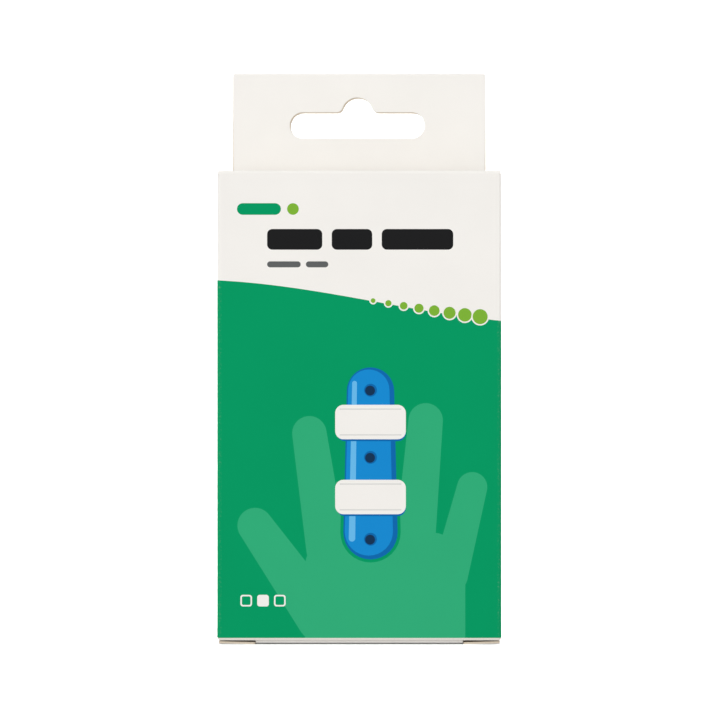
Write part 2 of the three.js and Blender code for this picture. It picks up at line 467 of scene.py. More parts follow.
class Finish:
    """A node material while it is put together."""

    def __init__(self, name):
        self.material = bpy.data.materials.new(name)
        self.material.use_nodes = True
        self.tree = self.material.node_tree
        self.shader = self.tree.nodes["Principled BSDF"]

    def node(self, kind, inputs=None, **settings):
        """A new node with its inputs and settings."""
        made = self.tree.nodes.new(kind)
        for key, value in settings.items():
            setattr(made, key, value)
        for key, value in (inputs or {}).items():
            self.feed(made.inputs[key], value)
        return made

    def feed(self, socket, value):
        """Link a socket to another one, or give it a value."""
        if isinstance(value, bpy.types.NodeSocket):
            self.tree.links.new(value, socket)
        else:
            socket.default_value = value

    def attribute(self, name, output):
        """A value that the mesh keeps for each point."""
        return self.node("ShaderNodeAttribute", attribute_name=name).outputs[output]

    def flat_place(self, stretch=(1.0, 1.0, 1.0)):
        """Place on the flat sheet in millimetres, so that the grain follows the folds."""
        mapping = self.node("ShaderNodeMapping", {"Vector": self.attribute("flat", "Vector")})
        mapping.inputs["Scale"].default_value = stretch
        return mapping.outputs["Vector"]

    def noise(self, place, scale, detail=2.0, roughness=0.5, distortion=0.0):
        """Smooth noise from 0 to 1."""
        return self.node("ShaderNodeTexNoise", {
            "Vector": place, "Scale": scale, "Detail": detail,
            "Roughness": roughness, "Distortion": distortion}).outputs[0]

    def ranged(self, value, low, high, to_low, to_high):
        """A value from one range moved to another, and held inside it."""
        return self.node("ShaderNodeMapRange", {
            "Value": value, "From Min": low, "From Max": high,
            "To Min": to_low, "To Max": to_high}).outputs[0]

    def maths(self, operation, first, second):
        """Two values put together by a Math node."""
        return self.node("ShaderNodeMath", {0: first, 1: second}, operation=operation).outputs[0]

    def mixed(self, share, first, second):
        """A colour between two others."""
        return self.node("ShaderNodeMixRGB", {
            "Fac": share, "Color1": first, "Color2": second}).outputs[0]

    def bumped(self, height, strength, distance):
        """The normal of a surface with small heights on it."""
        return self.node("ShaderNodeBump", {
            "Height": height, "Strength": strength, "Distance": distance}).outputs[0]


def tinted(shade, factor):
    """A colour made lighter or darker, with an alpha for a node's socket."""
    return tuple(min(1.0, channel * factor) for channel in shade[:3]) + (1.0,)


def coated_finish(name, shade, cracked, gloss):
    """Coated board with ink or bare: soft mottle, fine grain, satin varnish, worn folds.

    cracked is how much of the white coat shows through where a fold or an edge is worn.
    """
    look = Finish(name)
    place = look.flat_place()
    cloud = look.noise(place, CLOUDS, detail=3.0)
    speckle = look.noise(place, SPECKLE, detail=4.0, roughness=0.65)
    body = look.mixed(look.ranged(cloud, 0.3, 0.7, 0.0, 1.0),
                      tinted(shade, 0.985), tinted(shade, 1.012))
    body = look.mixed(look.ranged(speckle, 0.35, 0.75, 0.0, 0.05), body, tinted(shade, 0.8))
    chips = look.noise(place, CHIPS, detail=5.0, roughness=0.75, distortion=0.4)
    worn = look.maths("MULTIPLY", look.attribute("fold", "Fac"),
                      look.ranged(chips, 0.53, 0.72, 0.0, cracked))
    frayed = look.maths("MULTIPLY", look.attribute("rim", "Fac"),
                        look.ranged(chips, 0.55, 0.8, 0.0, cracked))
    paper = tinted(bpy.context.scene.carton_print.white, 1.0)
    body = look.mixed(look.maths("MAXIMUM", worn, frayed), body, paper)
    look.feed(look.shader.inputs["Base Color"], body)
    look.feed(look.shader.inputs["Roughness"], look.ranged(speckle, 0.3, 0.7, 0.42, 0.56))
    look.feed(look.shader.inputs["Specular IOR Level"], gloss)
    ripple = look.noise(place, RIPPLES)
    height = look.maths("ADD", ripple, look.ranged(speckle, 0.0, 1.0, 0.0, 0.3))
    look.feed(look.shader.inputs["Normal"], look.bumped(height, 0.35, COAT_BUMP))
    return look.material


def uncoated_finish(name, shade, stretch, contrast):
    """Bare board: fibres drawn out by stretch, darker specks and a dry surface."""
    look = Finish(name)
    fibres = look.noise(look.flat_place(stretch), 1.0, detail=5.0, roughness=0.7, distortion=0.6)
    specks = look.noise(look.flat_place(), SPECKS, detail=3.0, roughness=0.6)
    body = look.mixed(look.ranged(fibres, 0.3, 0.7, 0.0, 1.0),
                      tinted(shade, 1 - contrast), tinted(shade, 1 + contrast / 2))
    body = look.mixed(look.ranged(specks, 0.6, 0.75, 0.0, 0.3), body, tinted(shade, 0.72))
    look.feed(look.shader.inputs["Base Color"], body)
    look.feed(look.shader.inputs["Roughness"], look.ranged(fibres, 0.2, 0.8, 0.82, 0.95))
    look.feed(look.shader.inputs["Specular IOR Level"], 0.2)
    look.feed(look.shader.inputs["Normal"], look.bumped(fibres, 0.5, FIBRE_BUMP))
    return look.material


def finish(name):
    """The material of that name, made the first time that it is asked for."""
    found = bpy.data.materials.get(name)
    if found:
        return found
    inks = bpy.context.scene.carton_print
    if name == "inner board":
        return uncoated_finish(name, inks.inside, (0.5, 3.2, 1.0), 0.07)
    if name == "cut board":
        return uncoated_finish(name, inks.edge, (2.0, 9.0, 1.0), 0.16)
    if name == "crushed board":
        return uncoated_finish(name, inks.crushed, (4.0, 1.0, 1.0), 0.05)
    if name == "white board":
        return coated_finish(name, inks.white, cracked=0.0, gloss=0.2)
    ink = name.removesuffix(" ink")
    return coated_finish(name, getattr(inks, ink), cracked=0.1, gloss=0.05)


# Places that the frame gives

RAW_EDGE_GAP = 0.45  # slit between the front panel's cut edge and the lugs below it

SLEEVE_LOW, SLEEVE_HIGH = corners("sleeve")
HALF_WIDTH = SLEEVE_HIGH.x
HALF_DEPTH = SLEEVE_HIGH.y
TOP = SLEEVE_HIGH.z
BACK_BOTTOM = SLEEVE_LOW.z
FRONT_TOP = corners("top_left_dust_flap")[1].z
FRONT_BOTTOM = corners("bottom_closure_panel")[1].z + RAW_EDGE_GAP
CRUSHED_TOP = 1.5  # the cutting rule crushes the front panel's lower edge up to here
SIDE_TOP = TOP - 2 * BACK_BOTTOM  # here the dust flaps fold over, just inside the lids
SIDE_BOTTOM = 2 * BACK_BOTTOM


# Printed design on the sleeve. Across the front, the first number is the place from its
# middle, and the second is the height above the floor.

PERIMETER = 4 * (HALF_WIDTH + HALF_DEPTH)
BEYOND = 20.0  # how far the green runs past the sheet's edges
WAVE_MIDDLE = 79.5
WAVE_RISE = 5.2
WAVE_CREST = -41.0
WAVE_STEPS = 120
DOT_COUNT = 8
DOT_START = 3.2
DOT_SPACING = 3.55
DOT_RADIUS = 0.55  # of the first dot
DOT_GROWTH = 0.17  # from one dot to the next
DOT_RIM = 0.32
DOT_LIFT = 0.25  # above the wave, as a share of the radius

# The heading's bars: left and right ends, between one low and one high line
GREEN_BARS = ((-28.4, -18.2),)
GREEN_LINES = (99.7, 102.4)
BLACK_BARS = ((-21.4, -8.6), (-6.4, 3.0), (5.2, 21.8))
BLACK_LINES = (91.6, 96.4)
GREY_BARS = ((-21.4, -13.6), (-12.4, -7.2))
GREY_LINES = (87.5, 88.9)
HEADING_DOT = (-15.4, 101.05)
HEADING_ROUND = 1.35  # radius of the dot and of the green bar's ends

MARK_COUNT = 3
FILLED_MARK = 1
MARK_LEFT = -27.6
MARK_LOW = 8.8
MARK_SIDE = 2.7
MARK_SPACING = 3.9
MARK_LINE = 0.35  # thickness of an empty square's line


def wave_height(u):
    """The line between the white head and the green body, which goes right round."""
    return WAVE_MIDDLE + WAVE_RISE * math.cos(2 * math.pi * (u - WAVE_CREST) / PERIMETER)


def green_body():
    """The green below the wave, as one polygon round the whole sleeve."""
    start = -2 * HALF_WIDTH
    span = PERIMETER + 2 * BEYOND
    line = [start + span * step / WAVE_STEPS for step in range(WAVE_STEPS + 1)]
    return [(u, wave_height(u)) for u in line] + [(line[-1], -BEYOND), (line[0], -BEYOND)]


def wave_dots():
    """Dots along the wave that grow to the right, each with a white rim."""
    shapes = []
    for number in range(DOT_COUNT):
        u = DOT_START + DOT_SPACING * number
        radius = DOT_RADIUS + DOT_GROWTH * number
        height = wave_height(u) + DOT_LIFT * radius
        shapes.append((circle(u, height, radius + DOT_RIM), "white board"))
        shapes.append((circle(u, height, radius), "lime ink"))
    return shapes


def bars(ends, lines, radius, ink):
    """Round-cornered bars in one row."""
    low, high = lines
    return [(rounded_bar(left, low, right, high, radius), ink) for left, right in ends]


def heading():
    """A heading of plain bars: a green one with a dot, three heavy ones and two thin ones."""
    dot = (circle(*HEADING_DOT, HEADING_ROUND), "lime ink")
    return (
        bars(GREEN_BARS, GREEN_LINES, HEADING_ROUND, "green ink") + [dot]
        + bars(BLACK_BARS, BLACK_LINES, 1.2, "black ink")
        + bars(GREY_BARS, GREY_LINES, 0.7, "grey ink")
    )


def corner_marks():
    """Three small squares, of which the middle one is filled."""
    shapes = []
    high = MARK_LOW + MARK_SIDE
    for number in range(MARK_COUNT):
        left = MARK_LEFT + MARK_SPACING * number
        right = left + MARK_SIDE
        shapes.append((rounded_bar(left, MARK_LOW, right, high, 0.6), "white board"))
        if number != FILLED_MARK:
            shapes.append((rounded_bar(
                left + MARK_LINE, MARK_LOW + MARK_LINE, right - MARK_LINE, high - MARK_LINE,
                0.35), "green ink"))
    return shapes


# The drawn hand. Each finger: base, tip, width at the base and at the tip
FINGERS = (
    ((-7.6, 22.0), (-11.6, 49.0), 9.4, 8.0),
    ((2.6, 22.0), (2.6, 58.5), 9.6, 8.2),
    ((12.8, 22.0), (15.4, 52.0), 9.4, 8.0),
    ((21.0, 16.0), (26.2, 36.5), 8.4, 7.0),
    ((-9.0, 6.0), (-24.2, 27.6), 11.0, 8.2),
)
PALM = (-12.6, -14.0, 24.6, 26.0)  # left, low, right, high
PALM_CORNER = 8.0

# The splint on its middle finger, from the back layer to the front one, as the fingers
SPLINT_MIDDLE = 2.6
SPLINT_LAYERS = (
    ((SPLINT_MIDDLE, 26.0), (SPLINT_MIDDLE, 58.8), 14.0, 12.4, "green ink"),
    ((SPLINT_MIDDLE, 26.0), (SPLINT_MIDDLE, 58.8), 12.6, 11.0, "deep ink"),
    ((2.2, 26.2), (2.2, 59.0), 11.2, 9.6, "blue ink"),
    ((-1.7, 24.6), (-1.1, 60.6), 1.5, 1.1, "pale ink"),
)
SPLINT_HOLES = (24.4, 43.4, 59.0)  # heights
HOLE_RADIUS = 1.15
HOLE_RIM = 0.35
HOLE_SHADE = 0.1  # how far the dark of a hole lies left of and below its rim
STRAPS = (30.2, 47.6)  # heights of their lower edges
STRAP_LEFT = -5.6
STRAP_RIGHT = 10.8
STRAP_HEIGHT = 8.0
STRAP_CORNER = 1.9
STRAP_SHADE = 0.45  # how far a strap's shade shows below it
STRAP_SEAMS = (0.9, 6.9)  # above the strap's lower edge
SEAM_INSET = 1.0
SEAM_LINE = 0.22


def strap(low):
    """One strap with its shade and its two seams."""
    high = low + STRAP_HEIGHT
    shade = rounded_bar(STRAP_LEFT + 0.4, low - STRAP_SHADE, STRAP_RIGHT, high - 2.0, STRAP_CORNER)
    band = rounded_bar(STRAP_LEFT, low, STRAP_RIGHT, high, STRAP_CORNER)
    shapes = [(shade, "deep ink"), (band, "white board")]
    for rise in STRAP_SEAMS:
        seam = rounded_bar(STRAP_LEFT + SEAM_INSET, low + rise, STRAP_RIGHT - SEAM_INSET,
                           low + rise + SEAM_LINE, 0.1, steps=3)
        shapes.append((seam, "silver ink"))
    return shapes


def hand_drawing():
    """A flat drawn hand with one finger in a splint that two straps hold."""
    shapes = [(rounded_bar(*PALM, PALM_CORNER), "mint ink")]
    shapes += [(capsule(*finger), "mint ink") for finger in FINGERS]
    shapes += [(capsule(*layer), ink) for *layer, ink in SPLINT_LAYERS]
    for height in SPLINT_HOLES:
        rim = circle(SPLINT_MIDDLE, height, HOLE_RADIUS + HOLE_RIM)
        dark = circle(SPLINT_MIDDLE - HOLE_SHADE, height - HOLE_SHADE, HOLE_RADIUS)
        shapes += [(rim, "deep ink"), (dark, "navy ink")]
    for low in STRAPS:
        shapes += strap(low)
    return shapes


def shifted(shapes, distance):
    """The shapes, moved along the sleeve."""
    return [([(u + distance, t) for u, t in polygon], name) for polygon, name in shapes]


def crushed_strip():
    """The front's raw lower edge, where the cutting rule has pressed the board."""
    reach = HALF_WIDTH + 1.0
    return (rounded_bar(-reach, -2.0, reach, CRUSHED_TOP, 0.5), "crushed board")


# Sleeve

FLAP_END = -0.5  # where the glue flap ends, from the carton's middle
FLAP_SLANT = (4.0, 7.0)  # how far its ends are cut back, at its crease and at its free edge
FLAP_SLANT_START = 0.4  # how far inside its fold the slant starts

# Where two walls end at different heights, the step lies at the crease between them
STEP_ON_SIDE = 0.1  # its reach on the side wall
STEP_ON_FRONT = 0.2  # and on the front or the back

# How the walls dip
SAG_FROM_FOLD = (1.2, 12.0)  # where a panel's dip starts and where it is full, from a fold
SAG_FROM_END = (2.0, 18.0)  # and from the sleeve's ends
PATCH_SIZE = 24.0  # size of the patches that make the dips uneven
PATCH_MEAN = 0.7
PATCH_CONTRAST = 0.45
FLAP_DIP = 0.05  # of the left wall, where no glue flap lies behind it
CRUSH_DEPTH = 0.14


class CARTON_OT_sleeve(bpy.types.Operator):
    """Fold the four printed walls and the glue flap"""

    bl_idname = "carton.sleeve"
    bl_label = "Sleeve"

    def execute(self, context):
        board = context.scene.carton_board
        radius = board.fold_radius / MM
        thickness = board.thickness / MM
        raw_edge = HALF_DEPTH - thickness / 2
        flap_face = -HALF_WIDTH + thickness
        path = FoldPath((-HALF_WIDTH, raw_edge), -90)
        path.straight(raw_edge + HALF_DEPTH - radius).fold(radius, 90)
        front = path.reach
        path.straight(2 * (HALF_WIDTH - radius)).fold(radius, 90)
        path.straight(2 * (HALF_DEPTH - radius)).fold(radius, 90)
        path.straight(HALF_WIDTH - radius - flap_face - radius).fold(radius, 90)
        path.straight(HALF_DEPTH - radius - FLAP_END)

        middle = front + HALF_WIDTH - radius
        art = [(green_body(), "green ink")] + wave_dots() + heading()
        art += hand_drawing() + corner_marks() + [crushed_strip()]

        def upright(a, b, across):
            return (a, b, across)

        def sag(flat):
            return self.sag(flat, path, raw_edge - FLAP_END, board.sag / MM)

        sheet = Sheet(path, self.outline(path), upright, regions=shifted(art, middle), sag=sag)
        piece = join_shells("printed_sleeve", [sheet.shell(board)])
        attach(piece, "carton")
        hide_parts("sleeve")
        return {"FINISHED"}

    def outline(self, path):
        """The four walls and the glue flap, with the step in their ends at each crease."""
        left, right, rear, seam = [(start + end) / 2 for start, end in path.folds]
        half_fold = (path.folds[0][1] - path.folds[0][0]) / 2
        slant_start = path.folds[3][1] - FLAP_SLANT_START
        near, far = FLAP_SLANT
        return [
            (0.0, SIDE_BOTTOM),
            (left - STEP_ON_SIDE, SIDE_BOTTOM), (left + STEP_ON_FRONT, FRONT_BOTTOM),
            (right - STEP_ON_FRONT, FRONT_BOTTOM), (right + STEP_ON_SIDE, SIDE_BOTTOM),
            (rear - STEP_ON_SIDE, SIDE_BOTTOM), (rear + STEP_ON_FRONT, BACK_BOTTOM),
            (seam - half_fold, BACK_BOTTOM), (slant_start, near), (path.reach, far),
            (path.reach, TOP - far), (slant_start, TOP - near), (seam - half_fold, TOP),
            (rear + STEP_ON_FRONT, TOP), (rear - STEP_ON_SIDE, SIDE_TOP),
            (right + half_fold, SIDE_TOP), (right + half_fold - STEP_ON_SIDE, FRONT_TOP),
            (left - half_fold + STEP_ON_SIDE, FRONT_TOP), (left - half_fold, SIDE_TOP),
            (0.0, SIDE_TOP),
        ]

    def sag(self, flat, path, flap_edge, depth):
        """The dip of each panel, of the left wall beyond the flap, and of the crushed edge."""
        u, t = flat[:, 0], flat[:, 1]
        folds = path.folds
        rise = smooth_step(np.minimum(t, TOP - t), *SAG_FROM_END)
        dip = np.zeros(len(flat))
        for before, after in zip(folds, folds[1:]):
            dip += smooth_step(np.minimum(u - before[1], after[0] - u), *SAG_FROM_FOLD) * rise
        uneven = np.array([
            PATCH_MEAN + PATCH_CONTRAST * noise.noise(Vector((x / PATCH_SIZE, y / PATCH_SIZE, 3.7)))
            for x, y in flat])

        # From the glue flap's edge to the corner with the front
        left = smooth_step(u, flap_edge + 0.4, flap_edge + 2.0)
        left *= 1 - smooth_step(u, folds[0][0] - 4.0, folds[0][0] - 0.6)
        crushed = 1 - smooth_step(t, FRONT_BOTTOM, CRUSHED_TOP)
        crushed *= (u > sum(folds[0]) / 2) & (u < sum(folds[1]) / 2)
        return depth * dip * uneven + FLAP_DIP * left * rise + CRUSH_DEPTH * crushed


# Hang tab

TAB_LOW, TAB_HIGH = corners("hang_tab")
FRONT_PLY_BASE = TOP + 0.5
SLOT_LENGTH = 32.0
SLOT_BAR = 6.2
SLOT_TOP_MARGIN = 5.7
HUMP_RADIUS = 3.7
HUMP_RISE = 3.5
HUMP_FILLET = 1.5
SLOT_PLACE = -0.5
PLY_SHIFT = 0.3  # how far the rear ply's slot lies right of and below the front ply's
FOLD_PINCH = 0.16  # how much narrower the tab is round its fold, at each side
PINCH_OUTSIDE = 0.5  # the pinch runs from this far outside the fold
PINCH_INSIDE = 0.15  # to this far inside it
TAB_TAPER = 0.25  # how much narrower the front ply is at its foot, at each side


def euro_slot(x, lift):
    """Outline of the slot in one ply, as places across the tab and heights."""
    end = SLOT_BAR / 2
    top = TAB_HIGH.z - SLOT_TOP_MARGIN - HUMP_RISE + lift
    reach = SLOT_LENGTH / 2 - end
    hump = top + HUMP_RISE - HUMP_RADIUS
    fillet = top + HUMP_FILLET
    aside = math.sqrt((HUMP_RADIUS + HUMP_FILLET) ** 2 - (fillet - hump) ** 2)
    meet = math.degrees(math.atan2(fillet - hump, aside))
    return (
        arc(x + reach, top - end, end, -90, 90, 24)
        + arc(x + aside, fillet, HUMP_FILLET, -90, meet - 180, 8)
        + arc(x, hump, HUMP_RADIUS, meet, 180 - meet, 28)
        + arc(x - aside, fillet, HUMP_FILLET, -meet, -90, 8)
        + arc(x - reach, top - end, end, 90, 270, 24)
    )


class CARTON_OT_hang_tab(bpy.types.Operator):
    """Fold the hang tab over itself, with its slot through both plies"""

    bl_idname = "carton.hang_tab"
    bl_label = "Hang Tab"

    def execute(self, context):
        board = context.scene.carton_board
        radius = (TAB_HIGH.y - TAB_LOW.y) / 2
        top = TAB_HIGH.z - radius
        path = FoldPath((TAB_HIGH.y, TOP), 90)
        path.straight(top - TOP).fold(radius, 180).straight(top - FRONT_PLY_BASE)
        start, end = path.folds[0]
        half = TAB_HIGH.x
        side = [
            (0.0, half), (start - PINCH_OUTSIDE, half),
            (start + PINCH_INSIDE, half - FOLD_PINCH), (end - PINCH_INSIDE, half - FOLD_PINCH),
            (end + PINCH_OUTSIDE, half), (path.reach, half - TAB_TAPER),
        ]
        outline = side + [(u, -t) for u, t in reversed(side)]
        rear = [(height - TOP, x) for x, height in euro_slot(SLOT_PLACE + PLY_SHIFT, -PLY_SHIFT)]
        front = [(end + top - height, x) for x, height in euro_slot(SLOT_PLACE, 0.0)]
        sheet = Sheet(path, outline, lambda a, b, across: (across, a, b), holes=[rear, front])
        ply = radius - board.ply_gap / MM / 2
        piece = join_shells("hang_tab_board", [sheet.shell(board, thickness=ply)])
        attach(piece, "carton")
        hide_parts("hang_tab")
        return {"FINISHED"}


# Closures

# The top lid
CREASE_SPREAD = 0.25  # how much wider than its panel it is at its crease, at each side
SPREAD_LENGTH = 1.5  # and how far from the crease it has narrowed
NOTCH_ALONG = 0.3  # small notch at each end of its tuck crease
NOTCH_ACROSS = 0.5
LID_DIP = 0.1

# The bottom lid
TUCK_CLEARANCE = 0.3  # between the front wall and the tuck flap
CREASE_STEPS = 16  # along the tuck crease, the same in both sheets that meet there
LUG_CORNER = 0.15  # cut off each lug's outer corner
LUG_LIFT = 0.2
SHOULDER_INSIDE = 0.12  # how far inside its fold the tuck flap widens
SHOULDER_SLANT = 0.2  # how much it slants up to there, as a share of a lug's slant


def tuck_lean(drop, board):
    """How far a tuck flap leans in, in degrees, from the height that its node spans."""
    flap = board.tuck_length / MM
    thickness = board.thickness / MM
    return math.degrees(math.acos(drop / math.hypot(flap, thickness)) + math.atan2(thickness, flap))


def tuck_outline(start, reach, half, corner):
    """A tuck flap's free end, from one side of its crease round to the other."""
    return (
        [(start, -half)]
        + arc(reach - corner, -half + corner, corner, -90, 0, 12)
        + arc(reach - corner, half - corner, corner, 0, 90, 12)
        + [(start, half)]
    )


class CARTON_OT_top_lid(bpy.types.Operator):
    """Fold the lid from the front panel's top edge to its tucked flap"""

    bl_idname = "carton.top_lid"
    bl_label = "Top Lid"

    def execute(self, context):
        board = context.scene.carton_board
        radius = board.fold_radius / MM
        thickness = board.thickness / MM
        panel_low, panel_high = corners("top_closure_panel")
        tuck_low, tuck_high = corners("top_tuck_flap")
        lean = tuck_lean(panel_low.z - tuck_low.z, board)
        turn = 90 + lean
        # The inner faces of the panel and its flap meet at crease
        setback = (radius - thickness) * math.tan(math.radians(turn / 2))
        crease = panel_high.y - thickness
        path = FoldPath((HALF_DEPTH, FRONT_TOP), 90)
        path.fold(radius, 90).straight(HALF_DEPTH - radius + crease - setback)
        path.fold(radius, turn).straight(board.tuck_length / MM - setback)
        fold = path.folds[1][0]
        half = panel_high.x
        crease_half = half + CREASE_SPREAD
        crease_end = path.folds[0][1]
        narrowed = crease_end + SPREAD_LENGTH
        outline = [(narrowed, half), (crease_end, crease_half), (0.0, crease_half)]
        outline += [(0.0, -crease_half), (crease_end, -crease_half), (narrowed, -half)]
        outline += [(fold, -half), (fold + NOTCH_ALONG, -half + NOTCH_ACROSS)]
        outline += tuck_outline(path.folds[1][1], path.reach, tuck_high.x, board.tuck_corner / MM)
        outline += [(fold + NOTCH_ALONG, half - NOTCH_ACROSS), (fold, half)]

        def sag(flat):
            inset = np.minimum(flat[:, 0] - crease_end, fold - flat[:, 0])
            side = half - np.abs(flat[:, 1])
            return LID_DIP * smooth_step(inset, 0.8, 8) * (0.6 + 0.4 * smooth_step(side, 0, 12))

        sheet = Sheet(path, outline, lambda a, b, across: (across, -a, b), sag=sag)
        piece = join_shells("top_lid_board", [sheet.shell(board)])
        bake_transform(piece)
        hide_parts("top_closure_panel", "top_tuck_flap")
        return {"FINISHED"}


class CARTON_OT_bottom_lid(bpy.types.Operator):
    """Fold the bottom from the back panel's foot to its tucked flap, with its slit locks"""

    bl_idname = "carton.bottom_lid"
    bl_label = "Bottom Lid"

    def execute(self, context):
        board = context.scene.carton_board
        radius = board.fold_radius / MM
        thickness = board.thickness / MM
        panel_high = corners("bottom_closure_panel")[1]
        tuck_high = corners("bottom_tuck_flap")[1]
        lean = tuck_lean(tuck_high.z - panel_high.z, board)
        turn = 90 + lean
        setback = (radius - thickness) * math.tan(math.radians(turn / 2))
        crease = HALF_DEPTH - 2 * thickness - TUCK_CLEARANCE
        slit = HALF_WIDTH - board.slit_length / MM
        step = board.slit_step / MM

        def place(a, b, across):
            return (across, a, -b)

        panel_path = FoldPath((HALF_DEPTH, -BACK_BOTTOM), 90)
        panel_path.fold(radius, 90).straight(HALF_DEPTH - radius + crease - setback)
        fold = panel_path.reach
        panel_path.straight(HALF_DEPTH - crease + setback)
        lug = panel_path.reach
        half = panel_high.x
        seam = [slit * (2 * number / CREASE_STEPS - 1) for number in range(1, CREASE_STEPS)]
        outline = [
            (0.0, -half), (lug - LUG_CORNER, -half), (lug, -half + LUG_CORNER),
            (lug, -slit - step), (fold, -slit),
        ]
        outline += [(fold, t) for t in seam]
        outline += [
            (fold, slit), (lug, slit + step), (lug, half - LUG_CORNER),
            (lug - LUG_CORNER, half), (0.0, half),
        ]

        def lifted(flat):
            beyond = smooth_step(np.abs(flat[:, 1]), slit, half)
            return LUG_LIFT * beyond * smooth_step(flat[:, 0], fold - 4.0, lug)

        panel = Sheet(panel_path, outline, place, sag=lifted)

        tuck_path = FoldPath(panel_path.at(fold)[0], 180)
        tuck_path.fold(radius, turn).straight(board.tuck_length / MM - setback)
        shoulder = tuck_path.folds[0][1] - SHOULDER_INSIDE
        shoulder_half = slit + step * SHOULDER_SLANT
        outline = [(0.0, t) for t in reversed(seam)]
        outline += [(0.0, -slit), (shoulder, -shoulder_half)]
        outline += tuck_outline(shoulder, tuck_path.reach, tuck_high.x, board.tuck_corner / MM)
        outline += [(shoulder, shoulder_half), (0.0, slit)]
        tuck = Sheet(tuck_path, outline, place)
        piece = join_shells("bottom_lid_board", [panel.shell(board), tuck.shell(board)])
        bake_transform(piece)
        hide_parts("bottom_closure_panel", "bottom_tuck_flap")
        return {"FINISHED"}


DUST_CORNER = 3.0  # cut off a dust flap's free corner beside the lid's hinge
DUST_SLANT = 4.0  # how far its other side slants in, so that the tuck flap slides past
DUST_SLANT_LENGTH = 16.0


class CARTON_OT_dust_flaps(bpy.types.Operator):
    """Fold the four dust flaps in from the side walls"""

    bl_idname = "carton.dust_flaps"
    bl_label = "Dust Flaps"

    def execute(self, context):
        board = context.scene.carton_board
        for end, up in (("top", 1), ("bottom", -1)):
            for name, side in (("left", -1), ("right", 1)):
                self.fold_flap(board, f"{end}_{name}_dust_flap", up, side)
        return {"FINISHED"}

    def fold_flap(self, board, node, up, side):
        """One flap. up is -1 at the bottom, where the flap is a top one turned over."""
        radius = board.fold_radius / MM
        low, high = corners(node)
        wall_end = SIDE_TOP if up > 0 else SIDE_BOTTOM
        path = FoldPath((HALF_WIDTH, up * wall_end), 90)
        path.fold(radius, 90).straight(HALF_WIDTH - radius - min(abs(low.x), abs(high.x)))
        reach = path.reach
        hinge_end, tuck_end = (low.y, high.y) if up > 0 else (high.y, low.y)
        outline = [
            (0.0, hinge_end), (path.folds[0][1], hinge_end), (reach - DUST_CORNER, hinge_end),
            (reach, hinge_end + up * DUST_CORNER), (reach, tuck_end - up * DUST_SLANT),
            (reach - DUST_SLANT_LENGTH, tuck_end), (0.0, tuck_end),
        ]
        sheet = Sheet(path, outline, lambda a, b, across: (side * a, across, up * b))
        piece = join_shells(f"{node}_board", [sheet.shell(board)])
        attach(piece, "carton")
        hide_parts(node)


# Studio. Its places and lengths are metres.

CARTON_MIDDLE = (0.0, 0.0, 0.06)
SENSOR = 36.0
CAMERA_ASIDE = 0.00016  # the camera stands this far right of the carton's middle

# Lamps on the carton: name, place, side and power
LAMPS = (
    ("key", (-1.08, -0.86, 0.3), 0.8, 8.5),
    ("fill", (1.05, -0.88, 0.3), 0.8, 5.8),
    ("overhead", (0.0, 0.0, 1.3), 1.2, 6.2),
    ("rear left", (-0.8, 0.9, 0.6), 0.7, 2.8),
    ("rear right", (0.8, 0.9, 0.6), 0.7, 2.8),
)

# Lamps on the paper alone: place, target and power
PAPER_LAMPS = (
    ((0.0, -0.2, 1.5), (0.0, 0.0, 0.0), 26.0),
    ((0.0, 0.5, 1.6), (0.0, 1.8, 0.8), 32.0),
)
PAPER_LAMP_SIDE = 1.6
PAPER_GLOW = 0.1
PAPER_DROP = 0.00002  # how far the paper lies below the floor
PAPER_HALF = 3.0
SWEEP_START = 0.8
SWEEP_RADIUS = 1.0
PAPER_TOP = 4.0

CARD_DROP = 0.00004
CARD_INSET = 0.0006  # how much smaller than the carton's foot the dark card is, all round
CARD_TONE = 0.03
HORIZON = 0.1  # the sky's strength changes to the ground's within this of the horizon


def backdrop_finish(tone):
    """White paper with a fine grain and a faint glow."""
    look = Finish("studio paper")
    grain = look.noise(look.node("ShaderNodeTexCoord").outputs["Object"], 30.0, detail=3.0)
    white = (tone, tone, tone)
    look.feed(look.shader.inputs["Base Color"], look.mixed(
        look.ranged(grain, 0.3, 0.7, 0.0, 1.0), tinted(white, 0.99), tinted(white, 1.0)))
    look.feed(look.shader.inputs["Roughness"], 0.95)
    look.feed(look.shader.inputs["Specular IOR Level"], 0.1)
    look.feed(look.shader.inputs["Emission Color"], (1.0, 1.0, 1.0, 1.0))
    look.feed(look.shader.inputs["Emission Strength"], PAPER_GLOW)
    return look.material


def area_light(name, place, target, side, power):
    """A square lamp that points at its target."""
    data = bpy.data.lights.new(name, "AREA")
    data.shape = "SQUARE"
    data.size = side
    data.energy = power
    light = bpy.data.objects.new(name, data)
    light.location = place
    light.rotation_euler = (Vector(target) - Vector(place)).to_track_quat("-Z", "Y").to_euler()
    bpy.context.scene.collection.objects.link(light)
    return light


